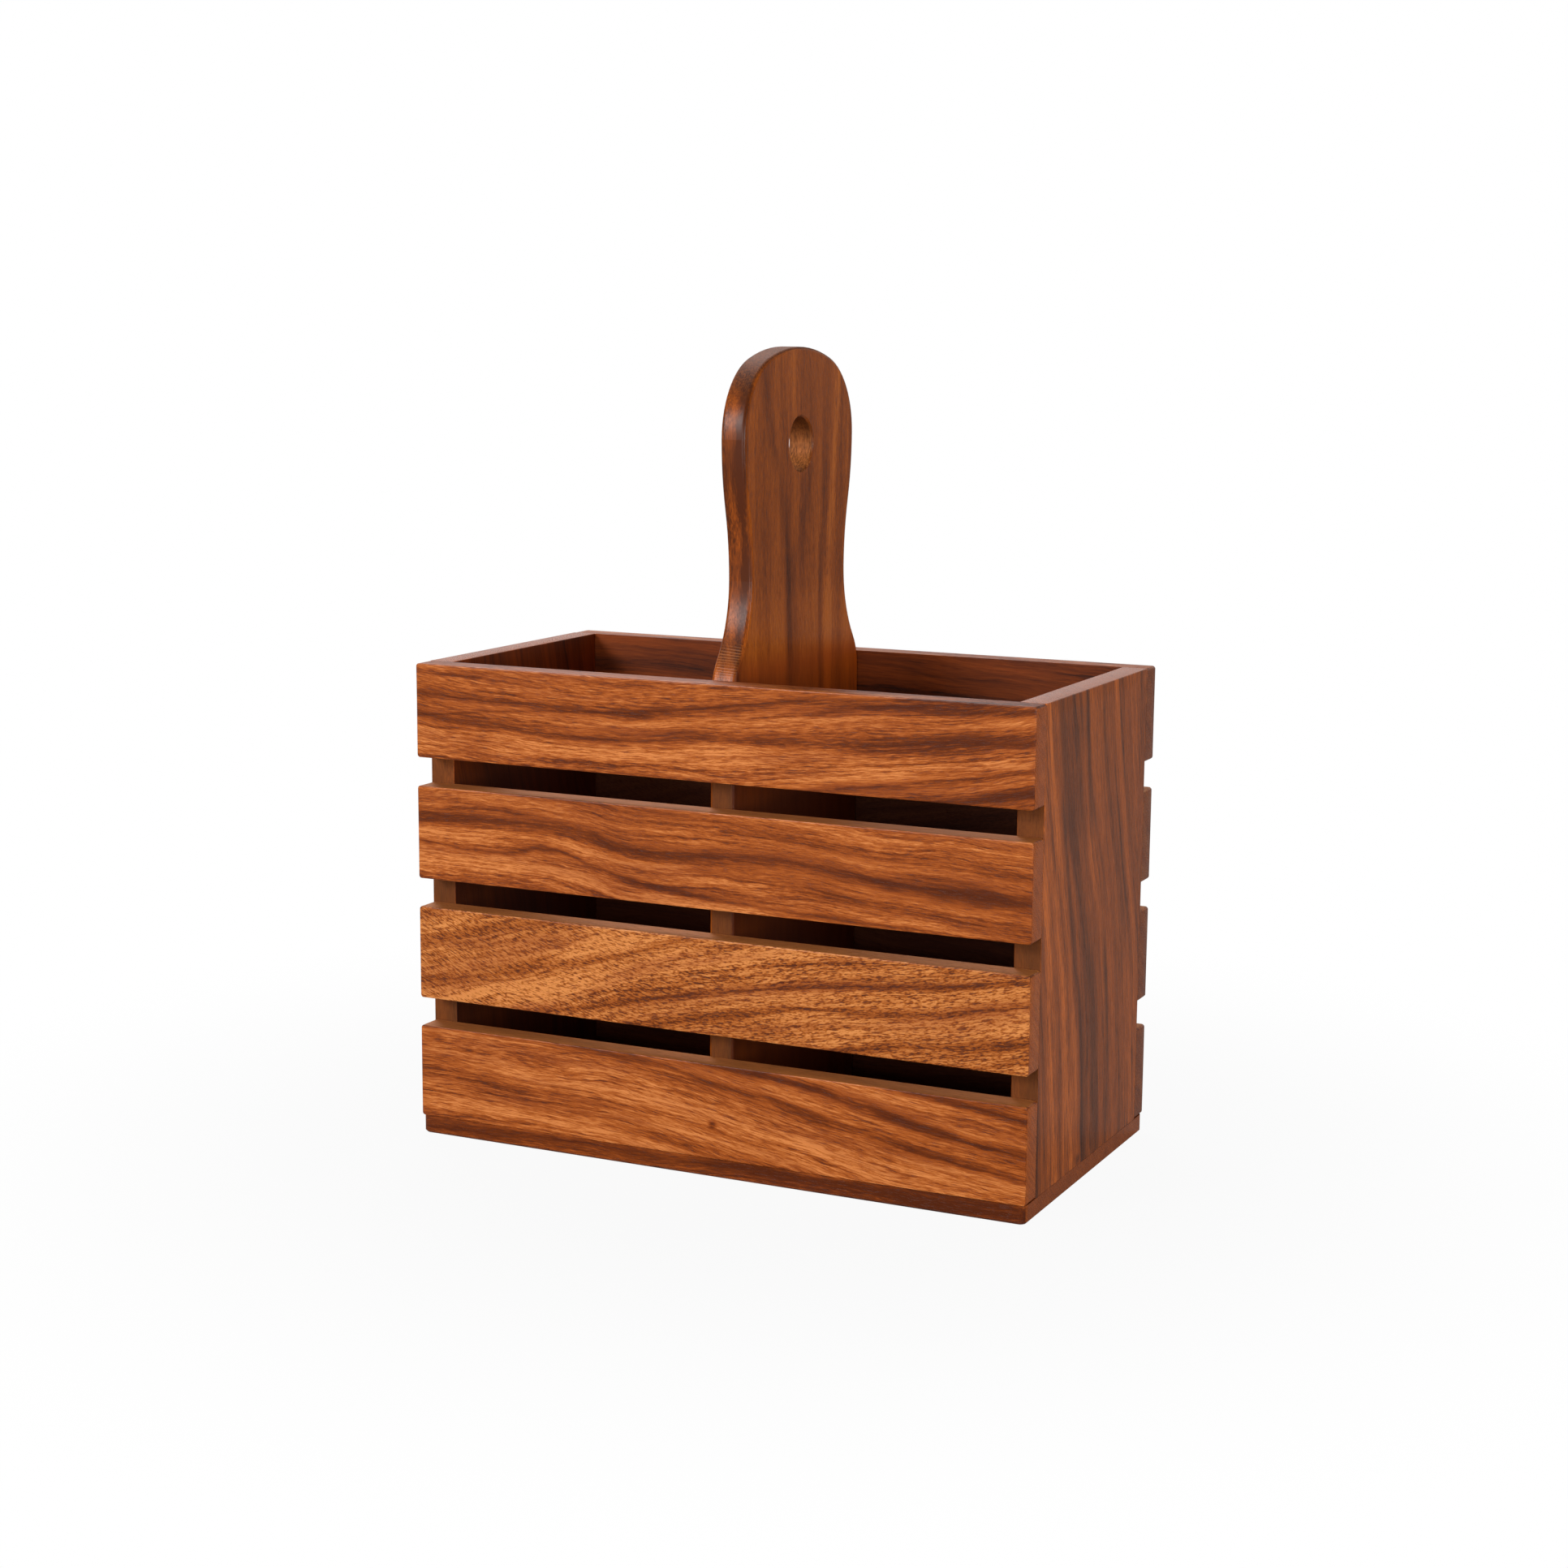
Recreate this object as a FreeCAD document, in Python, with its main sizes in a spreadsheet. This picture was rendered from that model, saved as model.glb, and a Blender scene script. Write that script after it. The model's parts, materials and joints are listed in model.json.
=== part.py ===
import FreeCAD, Part
import math
import os
import Sketcher

# A slatted wooden cutlery caddy with a paddle handle. X runs along the caddy, the front faces -Y and
# the base stands on Z = 0. Lengths are in millimetres.

SIZES = {
    # Base, slats and end panels
    "caddy_length": 250.0,
    "caddy_depth": 130.0,
    "base_thickness": 7.0,
    "base_corner_radius": 3.0,
    "base_arris": 0.8,
    "slat_height": 36.0,
    "slat_thickness": 10.0,
    "slat_gap": 11.0,
    "slat_rows": 4,
    "slat_arris": 0.7,
    "panel_thickness": 10.0,
    "panel_arris": 0.8,
    # Divider board and the handle that it rises into
    "divider_thickness": 10.0,
    "foot_drop": 6.0,
    "neck_rise": 35.0,
    "neck_inset": 14.0,
    "belly_rise": 51.5,
    "head_swell": 6.5,
    "crown_rise": 33.0,
    "flare_share": 0.68,
    "waist_share": 0.5,
    "shoulder_share": 0.92,
    "hole_diameter": 20.0,
    "hole_drop": 35.8,
    "hole_arris": 0.7,
    "handle_edge_round": 1.5,
    # Brads of flat wire that hold the slats, set below the face and filled over
    "brad_width": 1.25,
    "brad_gauge": 1.05,
    "brad_length": 30.0,
    "brad_set": 1.0,
    "brad_spacing": 18.0,
    # Countersunk screws that hold the base
    "screw_diameter": 3.5,
    "screw_head_diameter": 7.0,
    "screw_length": 25.0,
    "screw_tip": 4.0,
    "screw_recess": 0.3,
    "screw_spacing": 60.0,
    "screw_clearance": 0.05,
    "pilot_spare": 0.5,
}

# Sizes that follow from those above
FORMULAS = {
    "inner_depth": "=caddy_depth - 2 * slat_thickness",
    "upright_height": "=slat_rows * slat_height + (slat_rows - 1) * slat_gap",
    "slat_pitch": "=slat_height + slat_gap",
    "board_spread": "=caddy_length - panel_thickness",
    "brad_bite": "=slat_thickness - brad_set",
    "brad_low": "=(slat_height - brad_spacing - brad_gauge) / 2",
    "screw_hole": "=screw_diameter / 2 + screw_clearance",
    "screw_seat": "=screw_head_diameter / 2 + screw_recess + screw_clearance",
    "screw_head_height": "=(screw_head_diameter - screw_diameter) / 2",
    "foot_height": "=upright_height - foot_drop",
    "neck_height": "=upright_height + neck_rise",
    "head_height": "=neck_height + belly_rise",
    "handle_height": "=head_height + crown_rise",
    "neck_width": "=inner_depth - 2 * neck_inset",
    "head_width": "=neck_width + 2 * head_swell",
    # Two arcs that meet in an S between upright ends have radii that add up to the chord squared over
    # twice the step, so each S needs only the share that its concave arc takes
    "flare_run": "=foot_drop + neck_rise",
    "flare_radii": "=(neck_inset ^ 2 + flare_run ^ 2) / (2 * neck_inset)",
    "flare_radius": "=flare_share * flare_radii",
    "waist_radii": "=(head_swell ^ 2 + belly_rise ^ 2) / (2 * head_swell)",
    "waist_radius": "=waist_share * waist_radii",
    "shoulder_radius": "=shoulder_share * crown_rise",
}

# Each slat crosses three upright boards, with two brads into each, and each board takes two screws
BOARDS = 3
PAIR = 2
HALF_TURN = 180

# Two places closer than this are one place
SAME_PLACE = 1e-4

# Sketch numbers for the places on an edge, and for the axes, whose origin shares the first one's number
START, END, CENTRE = range(1, 4)
ACROSS_AXIS, UP_AXIS = range(-1, -3, -1)
ORIGIN = ACROSS_AXIS

doc = FreeCAD.newDocument("cutlery_caddy")
sheet = doc.addObject("Spreadsheet::Sheet", "Sizes")
for row, (alias, entry) in enumerate([*SIZES.items(), *FORMULAS.items()], start=1):
    sheet.set(f"A{row}", alias)
    sheet.set(f"B{row}", str(entry))
    sheet.setAlias(f"B{row}", alias)
doc.recompute()


def size(alias):
    return float(sheet.get(alias))


ROWS = int(size("slat_rows"))


def bind(item, **formulas):
    """Ties an object's properties to the sheet."""
    for name, formula in formulas.items():
        item.setExpression(name, formula)


def origin_feature(body, role):
    return next(item for item in body.Origin.OriginFeatures if item.Role == role)


def new_body(label):
    body = doc.addObject("PartDesign::Body", label)
    body.Label = label
    return body


def new_sketch(body, role, name):
    sketch = body.newObject("Sketcher::SketchObject", name)
    sketch.AttachmentSupport = (origin_feature(body, role), [""])
    sketch.MapMode = "FlatFace"
    return sketch


def new_feature(body, kind, name, **properties):
    item = body.newObject(f"PartDesign::{kind}", name)
    for key, entry in properties.items():
        setattr(item, key, entry)
    return item


def set_in_place(body, x="0", y="0", z="0", about=False):
    """Puts a piece in the caddy, turned about to face the other way where asked."""
    body.Placement.Rotation = FreeCAD.Rotation(FreeCAD.Vector(0, 0, 1), HALF_TURN if about else 0)
    for axis, formula in (("x", x), ("y", y), ("z", z)):
        body.setExpression(f"Placement.Base.{axis}", formula)


def hold(sketch, kind, *places):
    sketch.addConstraint(Sketcher.Constraint(kind, *places))


def measure(sketch, kind, places, name, formula):
    """Adds a dimension whose value comes from the sheet."""
    value = float(sketch.evalExpression(formula))
    index = sketch.addConstraint(Sketcher.Constraint(kind, *places, value))
    sketch.renameConstraint(index, name)
    sketch.setExpression(f"Constraints.{name}", formula)


def pin_point(sketch, edge, point, name, across=None, up=None):
    """Fixes a point by its distances from the axes, or on an axis where no distance is given."""
    if across:
        measure(sketch, "DistanceX", (ORIGIN, START, edge, point), f"{name}_across", across)
    else:
        hold(sketch, "PointOnObject", edge, point, UP_AXIS)
    if up:
        measure(sketch, "DistanceY", (ORIGIN, START, edge, point), f"{name}_up", up)
    else:
        hold(sketch, "PointOnObject", edge, point, ACROSS_AXIS)


def sketch_point(sketch, across=None, up=None):
    return FreeCAD.Vector(
        float(sketch.evalExpression(across or "0")), float(sketch.evalExpression(up or "0")), 0
    )


def draw_loop(sketch, points):
    """Draws a closed run of straight lines."""
    following = points[1:] + points[:1]
    for point, target in zip(points, following):
        sketch.addGeometry(Part.LineSegment(point, target))
    for edge in range(len(points)):
        hold(sketch, "Coincident", edge, END, (edge + 1) % len(points), START)


def draw_rectangle(sketch, width, height, across=None, low=None):
    """Draws a rectangle centred on the up axis, or with its near side that far across, and standing on
    the other axis, or with its bottom that far up."""
    start = sketch_point(sketch, across or f"-{width} / 2", low)
    along = sketch_point(sketch, across=width)
    rise = sketch_point(sketch, up=height)
    draw_loop(sketch, [start, start + along, start + along + rise, start + rise])
    for edge, kind in enumerate(("Vertical", "Horizontal", "Vertical"), start=1):
        hold(sketch, kind, edge)
    if across:
        hold(sketch, "Horizontal", 0)
        measure(sketch, "DistanceX", (ORIGIN, START, 0, START), "near_side", across)
    else:
        hold(sketch, "Symmetric", 0, START, 0, END, UP_AXIS)
    if low:
        measure(sketch, "DistanceY", (ORIGIN, START, 0, START), "bottom", low)
    else:
        hold(sketch, "PointOnObject", 0, START, ACROSS_AXIS)
    measure(sketch, "DistanceX", (0, START, 0, END), "width", width)
    measure(sketch, "DistanceY", (1, START, 1, END), "height", height)


def draw_profile(sketch, corners):
    """Draws the half section of a turned piece, each corner held by its two distances."""
    draw_loop(sketch, [sketch_point(sketch, across, up) for across, up in corners])
    for edge, (across, up) in enumerate(corners):
        pin_point(sketch, edge, START, f"corner_{edge}", across, up)


def draw_ring(sketch, radius, across=None, up=None):
    middle = sketch_point(sketch, across, up)
    reach = float(sketch.evalExpression(radius))
    sketch.addGeometry(Part.Circle(middle, FreeCAD.Vector(0, 0, 1), reach))
    measure(sketch, "Radius", (0,), "ring_radius", radius)
    pin_point(sketch, 0, CENTRE, "ring_centre", across, up)


def run_along(body, axis, count, length, back=False):
    """One straight repeat, its first and last copy the given length apart."""
    run = new_feature(body, "LinearPattern", "Run", Occurrences=count, Reversed=back)
    run.Direction = (origin_feature(body, axis), [""])
    bind(run, Length=length)
    return run


def mirror_over(body, role, originals=()):
    mirror = new_feature(body, "Mirrored", "Mirror", Originals=list(originals))
    mirror.MirrorPlane = (origin_feature(body, role), [""])
    return mirror


def repeat(body, original, name, *steps):
    """Repeats a feature by each step in turn."""
    group = new_feature(body, "MultiTransform", name, Originals=[original])
    group.Transformations = list(steps)
    body.Tip = group
    doc.recompute()


def lies_at(edge, axis, level):
    """True where the whole edge lies in the plane at that level of the axis."""
    ends = (getattr(edge.BoundBox, f"{axis}Min"), getattr(edge.BoundBox, f"{axis}Max"))
    return all(math.isclose(end, level, abs_tol=SAME_PLACE) for end in ends)


def ease_edges(body, kind, name, picked, **formula):
    """Rounds or chamfers the edges that the test picks on the piece as it stands so far."""
    doc.recompute()
    so_far = body.Tip
    edges = [f"Edge{n}" for n, edge in enumerate(so_far.Shape.Edges, start=1) if picked(edge)]
    eased = new_feature(body, kind, name, Base=(so_far, edges))
    bind(eased, **formula)
    body.Tip = eased
    doc.recompute()


def make_base():
    """The thin board under everything, with its screw holes countersunk from below."""
    body = new_body("base_board")
    sketch = new_sketch(body, "XZ_Plane", "BaseSection")
    draw_rectangle(sketch, "Sizes.caddy_length", "Sizes.base_thickness")
    pad = new_feature(body, "Pad", "BasePad", Profile=sketch, SideType="Symmetric")
    bind(pad, Length="Sizes.caddy_depth")

    def upright(edge):
        return math.isclose(edge.BoundBox.ZLength, size("base_thickness"), abs_tol=SAME_PLACE)

    def underneath(edge):
        return lies_at(edge, "Z", 0)

    ease_edges(body, "Fillet", "BaseCorners", upright, Radius="Sizes.base_corner_radius")
    ease_edges(body, "Chamfer", "BaseArris", underneath, Size="Sizes.base_arris")
    centre = new_sketch(body, "XY_Plane", "BaseScrewCentre")
    draw_ring(centre, "Sizes.screw_hole", "Sizes.board_spread / 2", "Sizes.screw_spacing / 2")
    doc.recompute()
    hole = new_feature(body, "Hole", "BaseScrewHole", Profile=centre)
    hole.DepthType = "ThroughAll"
    hole.HoleCutType = "Countersink"
    hole.HoleCutCustomValues = True
    hole.Reversed = True
    bind(hole, Diameter="2 * Sizes.screw_hole", HoleCutDiameter="2 * Sizes.screw_seat")
    along = run_along(body, "X_Axis", BOARDS, "Sizes.board_spread", back=True)
    across = run_along(body, "Y_Axis", PAIR, "Sizes.screw_spacing", back=True)
    repeat(body, hole, "BaseScrewHoles", along, across)
    return body


def make_slat(label, row, side):
    """One slat of the front, side -1, or the back, side 1. The brads stop short of its outer face, where
    the filling is sanded flush and counts as part of the slat."""
    body = new_body(label)
    sketch = new_sketch(body, "XZ_Plane", "SlatOutline")
    draw_rectangle(sketch, "Sizes.caddy_length", "Sizes.slat_height")
    pad = new_feature(body, "Pad", "SlatPad", Profile=sketch)
    bind(pad, Length="Sizes.slat_thickness")

    def off_hidden_face(edge):
        return not lies_at(edge, "Y", 0)

    ease_edges(body, "Chamfer", "SlatArris", off_hidden_face, Size="Sizes.slat_arris")
    section = new_sketch(body, "XZ_Plane", "SlatBradSection")
    near_side = "(Sizes.board_spread - Sizes.brad_width) / 2"
    draw_rectangle(section, "Sizes.brad_width", "Sizes.brad_gauge", near_side, "Sizes.brad_low")
    hole = new_feature(body, "Pocket", "SlatBradHole", Profile=section, Reversed=True)
    bind(hole, Length="Sizes.brad_bite")
    along = run_along(body, "X_Axis", BOARDS, "Sizes.board_spread", back=True)
    pair = run_along(body, "Z_Axis", PAIR, "Sizes.brad_spacing")
    repeat(body, hole, "SlatBradHoles", along, pair)
    set_in_place(
        body,
        y=f"{side} * Sizes.inner_depth / 2",
        z=f"Sizes.base_thickness + {row} * Sizes.slat_pitch",
        about=side > 0,
    )
    return body


def pierce_for_brads(body):
    """Opens an upright board's front and back edges for the brads of the slats that cross it."""
    section = new_sketch(body, "XZ_Plane", "EdgeBradSection")
    bind(section, **{"AttachmentOffset.Base.z": "Sizes.inner_depth / 2"})
    draw_rectangle(section, "Sizes.brad_width", "Sizes.brad_gauge", low="Sizes.brad_low")
    hole = new_feature(body, "Pocket", "EdgeBradHole", Profile=section)
    bind(hole, Length="Sizes.brad_length - Sizes.brad_bite")
    pair = run_along(body, "Z_Axis", PAIR, "Sizes.brad_spacing")
    rows = run_along(body, "Z_Axis", ROWS, "(Sizes.slat_rows - 1) * Sizes.slat_pitch")
    repeat(body, hole, "EdgeBradHoles", pair, rows, mirror_over(body, "XZ_Plane"))


def bore_for_screws(body):
    """Drills an upright board's bottom edge for the screws that come up through the base."""
    centre = new_sketch(body, "XY_Plane", "PilotCentre")
    draw_ring(centre, "Sizes.screw_hole", up="Sizes.screw_spacing / 2")
    hole = new_feature(body, "Pocket", "PilotHole", Profile=centre, Reversed=True)
    reach = "Sizes.screw_recess + Sizes.screw_length + Sizes.pilot_spare"
    bind(hole, Length=f"{reach} - Sizes.base_thickness")
    repeat(body, hole, "PilotHoles", run_along(body, "Y_Axis", PAIR, "Sizes.screw_spacing", back=True))


def make_end_panel(label, side):
    """The solid board at the left end, side -1, or the right end, side 1."""
    body = new_body(label)
    sketch = new_sketch(body, "YZ_Plane", "PanelOutline")
    draw_rectangle(sketch, "Sizes.inner_depth", "Sizes.upright_height")
    pad = new_feature(body, "Pad", "PanelPad", Profile=sketch, SideType="Symmetric")
    bind(pad, Length="Sizes.panel_thickness")

    def shows(edge):
        inner = lies_at(edge, "X", size("panel_thickness") / 2) and not lies_at(edge, "Z", 0)
        outer = lies_at(edge, "X", -size("panel_thickness") / 2)
        return inner or (outer and lies_at(edge, "Z", size("upright_height")))

    ease_edges(body, "Chamfer", "PanelArris", shows, Size="Sizes.panel_arris")
    pierce_for_brads(body)
    bore_for_screws(body)
    set_in_place(
        body,
        x=f"{side} * Sizes.board_spread / 2",
        z="Sizes.base_thickness",
        about=side > 0,
    )
    return body


def arc(centre, radius, first, last):
    """An arc from the first angle to the last, in radians, anticlockwise."""
    circle = Part.Circle(centre, FreeCAD.Vector(0, 0, 1), radius)
    return Part.ArcOfCircle(circle, first, last)


def draw_handle_half(sketch):
    """Draws the back half of the divider: square below the rim, then a foot that flares in to the neck,
    a waist that swells to the head, and a shoulder and crown that close over the top."""
    side = size("inner_depth") / 2
    neck = size("neck_width") / 2
    head = size("head_width") / 2
    foot_z = size("foot_height")
    neck_z = size("neck_height")
    head_z = size("head_height")
    top_z = size("handle_height")
    flare = size("flare_radius")
    foot = size("flare_radii") - flare
    waist = size("waist_radius")
    belly = size("waist_radii") - waist
    shoulder = size("shoulder_radius")
    rise = size("crown_rise")
    crown = (head**2 + rise**2 - 2 * head * shoulder) / (2 * (rise - shoulder))
    flare_turn = 2 * math.atan2(size("neck_inset"), size("flare_run"))
    waist_turn = 2 * math.atan2(size("head_swell"), size("belly_rise"))
    crown_turn = math.atan2(crown - rise, head - shoulder)

    corners = [(0, top_z), (0, 0), (side, 0), (side, foot_z)]
    points = [FreeCAD.Vector(across, up, 0) for across, up in corners]
    spine, sole, edge = (
        sketch.addGeometry(Part.LineSegment(first, last)) for first, last in zip(points, points[1:])
    )
    arcs = (
        arc(FreeCAD.Vector(side - foot, foot_z, 0), foot, 0, flare_turn),
        arc(FreeCAD.Vector(neck + flare, neck_z, 0), flare, math.pi, math.pi + flare_turn),
        arc(FreeCAD.Vector(neck + waist, neck_z, 0), waist, math.pi - waist_turn, math.pi),
        arc(FreeCAD.Vector(head - belly, head_z, 0), belly, -waist_turn, 0),
        arc(FreeCAD.Vector(head - shoulder, head_z, 0), shoulder, 0, crown_turn),
        arc(FreeCAD.Vector(0, top_z - crown, 0), crown, crown_turn, math.pi / 2),
    )
    foot, flare, waist, belly, shoulder, crown = (sketch.addGeometry(item) for item in arcs)

    hold(sketch, "Coincident", spine, END, sole, START)
    hold(sketch, "Coincident", sole, END, edge, START)
    hold(sketch, "Coincident", crown, END, spine, START)
    hold(sketch, "Coincident", sole, START, ORIGIN, START)
    hold(sketch, "Horizontal", sole)
    hold(sketch, "Vertical", edge)
    hold(sketch, "Vertical", spine)
    hold(sketch, "Tangent", edge, END, foot, START)
    hold(sketch, "Tangent", foot, END, flare, END)
    hold(sketch, "Tangent", flare, START, waist, END)
    hold(sketch, "Tangent", waist, START, belly, START)
    hold(sketch, "Tangent", belly, END, shoulder, START)
    hold(sketch, "Tangent", shoulder, END, crown, START)
    hold(sketch, "Horizontal", flare, CENTRE, flare, START)
    hold(sketch, "Horizontal", belly, CENTRE, belly, END)
    hold(sketch, "PointOnObject", crown, CENTRE, UP_AXIS)
    measure(sketch, "DistanceX", (sole, START, sole, END), "half_depth", "Sizes.inner_depth / 2")
    measure(sketch, "DistanceY", (edge, START, edge, END), "edge_height", "Sizes.foot_height")
    pin_point(sketch, flare, START, "neck", "Sizes.neck_width / 2", "Sizes.neck_height")
    pin_point(sketch, belly, END, "head", "Sizes.head_width / 2", "Sizes.head_height")
    measure(sketch, "DistanceY", (spine, END, spine, START), "top_height", "Sizes.handle_height")
    measure(sketch, "Radius", (flare,), "flare_size", "Sizes.flare_radius")
    measure(sketch, "Radius", (waist,), "waist_size", "Sizes.waist_radius")
    measure(sketch, "Radius", (shoulder,), "shoulder_size", "Sizes.shoulder_radius")


def make_divider():
    """The board between the two bays, which rises into the handle."""
    body = new_body("divider_handle")
    sketch = new_sketch(body, "YZ_Plane", "HandleOutline")
    draw_handle_half(sketch)
    pad = new_feature(body, "Pad", "HandlePad", Profile=sketch, SideType="Symmetric")
    bind(pad, Length="Sizes.divider_thickness")
    body.Tip = mirror_over(body, "XZ_Plane", [pad])
    doc.recompute()
    centre = new_sketch(body, "YZ_Plane", "HangingHoleCentre")
    draw_ring(centre, "Sizes.hole_diameter / 2", up="Sizes.handle_height - Sizes.hole_drop")
    new_feature(
        body, "Pocket", "HangingHole", Profile=centre, SideType="Symmetric", Type="ThroughAll"
    )

    def on_broad_face(edge):
        half = size("divider_thickness") / 2
        return lies_at(edge, "X", half) or lies_at(edge, "X", -half)

    def on_outline(edge):
        return on_broad_face(edge) and not edge.isClosed() and not lies_at(edge, "Z", 0)

    def on_hole(edge):
        return on_broad_face(edge) and edge.isClosed()

    ease_edges(body, "Fillet", "HandleRound", on_outline, Radius="Sizes.handle_edge_round")
    ease_edges(body, "Chamfer", "HangingHoleArris", on_hole, Size="Sizes.hole_arris")
    pierce_for_brads(body)
    bore_for_screws(body)
    set_in_place(body, z="Sizes.base_thickness")
    return body


def make_brads(label, side):
    """The brads in all the slats of one side, one solid each, driven inwards from the set depth."""
    body = new_body(label)
    sketch = new_sketch(body, "XZ_Plane", "BradSection")
    draw_rectangle(sketch, "Sizes.brad_width", "Sizes.brad_gauge", low="Sizes.brad_low")
    brad = new_feature(body, "Pad", "Brad", Profile=sketch, Reversed=True)
    bind(brad, Length="Sizes.brad_length")
    along = run_along(body, "X_Axis", BOARDS, "Sizes.board_spread")
    pair = run_along(body, "Z_Axis", PAIR, "Sizes.brad_spacing")
    rows = run_along(body, "Z_Axis", ROWS, "(Sizes.slat_rows - 1) * Sizes.slat_pitch")
    repeat(body, brad, "Brads", along, pair, rows)
    set_in_place(
        body,
        x=f"{side} * Sizes.board_spread / 2",
        y=f"{side} * (Sizes.inner_depth / 2 + Sizes.brad_bite)",
        z="Sizes.base_thickness",
        about=side > 0,
    )
    return body


def make_screws():
    """The countersunk screws under the base, one solid each, points up."""
    body = new_body("base_screws")
    sketch = new_sketch(body, "XZ_Plane", "ScrewSection")
    shank = "Sizes.screw_diameter / 2"
    corners = [
        (None, None),
        ("Sizes.screw_head_diameter / 2", None),
        (shank, "Sizes.screw_head_height"),
        (shank, "Sizes.screw_length - Sizes.screw_tip"),
        (None, "Sizes.screw_length"),
    ]
    draw_profile(sketch, corners)
    screw = new_feature(body, "Revolution", "Screw", Profile=sketch)
    screw.ReferenceAxis = (sketch, ["V_Axis"])
    along = run_along(body, "X_Axis", BOARDS, "Sizes.board_spread")
    across = run_along(body, "Y_Axis", PAIR, "Sizes.screw_spacing")
    repeat(body, screw, "Screws", along, across)
    set_in_place(
        body,
        x="-Sizes.board_spread / 2",
        y="-Sizes.screw_spacing / 2",
        z="Sizes.screw_recess",
    )
    return body


pieces = [
    make_base(),
    make_end_panel("left_end_panel", -1),
    make_end_panel("right_end_panel", 1),
    make_divider(),
    *(make_slat(f"front_slat_{row + 1}", row, -1) for row in range(ROWS)),
    *(make_slat(f"back_slat_{row + 1}", row, 1) for row in range(ROWS)),
    make_brads("front_slat_brads", -1),
    make_brads("back_slat_brads", 1),
    make_screws(),
]
doc.recompute()

for item in doc.Objects:
    if "Invalid" in item.State or "Error" in item.State:
        raise RuntimeError(f"{item.Label} did not build")
for piece in pieces:
    if piece.Shape.isNull() or not piece.Shape.isValid():
        raise RuntimeError(f"{piece.Label} has no sound shape")

os.makedirs("parts", exist_ok=True)
for piece in pieces:
    piece.Shape.exportStep(f"parts/{piece.Label}.step")
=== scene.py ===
import itertools
import json
import math

import bmesh
import bpy
from mathutils import Matrix, Vector, noise


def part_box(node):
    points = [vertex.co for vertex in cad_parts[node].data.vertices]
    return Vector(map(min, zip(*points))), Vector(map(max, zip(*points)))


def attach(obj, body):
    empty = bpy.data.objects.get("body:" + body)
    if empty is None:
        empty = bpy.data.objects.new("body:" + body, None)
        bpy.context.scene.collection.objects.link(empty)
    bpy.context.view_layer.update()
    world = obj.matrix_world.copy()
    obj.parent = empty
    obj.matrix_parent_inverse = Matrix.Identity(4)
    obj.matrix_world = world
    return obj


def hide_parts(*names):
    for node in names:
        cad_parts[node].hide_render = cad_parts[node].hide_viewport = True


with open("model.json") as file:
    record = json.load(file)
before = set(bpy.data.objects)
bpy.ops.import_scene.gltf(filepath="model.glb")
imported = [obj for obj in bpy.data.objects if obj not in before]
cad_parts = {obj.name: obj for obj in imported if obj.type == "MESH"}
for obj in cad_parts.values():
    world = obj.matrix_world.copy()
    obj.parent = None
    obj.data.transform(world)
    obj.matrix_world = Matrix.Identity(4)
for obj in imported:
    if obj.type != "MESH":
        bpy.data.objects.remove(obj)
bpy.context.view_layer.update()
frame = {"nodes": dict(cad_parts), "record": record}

# A slatted cutlery caddy in lacquered rosewood. X runs along it, the front faces -Y, lengths in metres.

MM = 0.001
nodes = frame["nodes"]
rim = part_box("front_slat_4")[1].z
hole = next(mount for mount in frame["record"]["mounts"] if mount["name"] == "hanging_hole")
hole_centre = Vector(hole["pos_m"])
hole_radius = hole["dims"]["r_mm"] * MM

# Camera, found by fitting the box's corners to the photograph
CAMERA_PLACE = Vector((0.4429, -0.9303, 0.3122))
CAMERA_YAW = math.radians(-25.512)
CAMERA_PITCH = math.radians(-9.605)
CAMERA_ROLL = math.radians(0.446)
SENSOR_WIDTH = 36.0
FOCAL_SHARE = 3357.7 / 1932

# Lamps: name, place, width, height and watts
LAMPS = (
    ("key", (0.35, -2.0, 0.38), 0.9, 0.5, 14.0),
    ("fill", (1.9, -0.9, 0.36), 1.0, 0.5, 13.6),
    ("front_left", (-0.95, -1.75, 0.98), 0.7, 0.6, 24.8),
    ("back", (-1.1, 1.3, 2.0), 1.2, 0.8, 36.0),
    ("top", (0.0, 0.2, 1.9), 1.6, 1.2, 2.0),
)
LAMP_TARGET = (0.0, 0.0, 0.12)

# Floor and room. A gloss sees a share of their white, and most of it towards the backdrop.
FLOOR_HALF = 6.0
FLOOR_PAINT = (0.28, 0.28, 0.28, 1.0)
FLOOR_SHADOW_REACH = (0.1, 0.4)
FLOOR_WHITE_SHARE = 0.94
FLOOR_GLOSS = 0.1
ROOM_GLOSS = 0.12
BACKDROP_GLOSS = 0.7
BACKDROP_WAY = (-0.43, 0.9)
BACKDROP_EDGE = (0.6, 0.95)
ROOM_LIGHT = 0.10
WHITE = (1.0, 1.0, 1.0, 1.0)

# Sanded boards: how far their edges are eased, and how much that wanders
ARRIS = 0.4 * MM
SLAT_CORNER = 1.1 * MM
SEAM = 0.12 * MM
BOARD_STEP = 6 * MM
EASED_SHARES = (0.0, 0.25, 0.55, 1.0)
WANDER_SHARE = 0.45
WANDERS_PER_METRE = 45

# Screws with a cross recess
SCREW_HEAD = 3.5 * MM
SCREW_SHANK = 1.75 * MM
SCREW_TIP = 4.0 * MM
SCREW_STEPS = 64
SCREW_RINGS = 14
SCREW_TURN = 0.65
SCREW_SHARP = math.radians(35)
RECESS_DEPTH = 1.6 * MM
RECESS_HALF_WIDTH = 0.62 * MM
RECESS_WALL = 0.15 * MM
RECESS_REACH = 2.1 * MM
RECESS_END = 0.3 * MM
RECESS_TAPER_PER_METRE = 140.0

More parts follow.
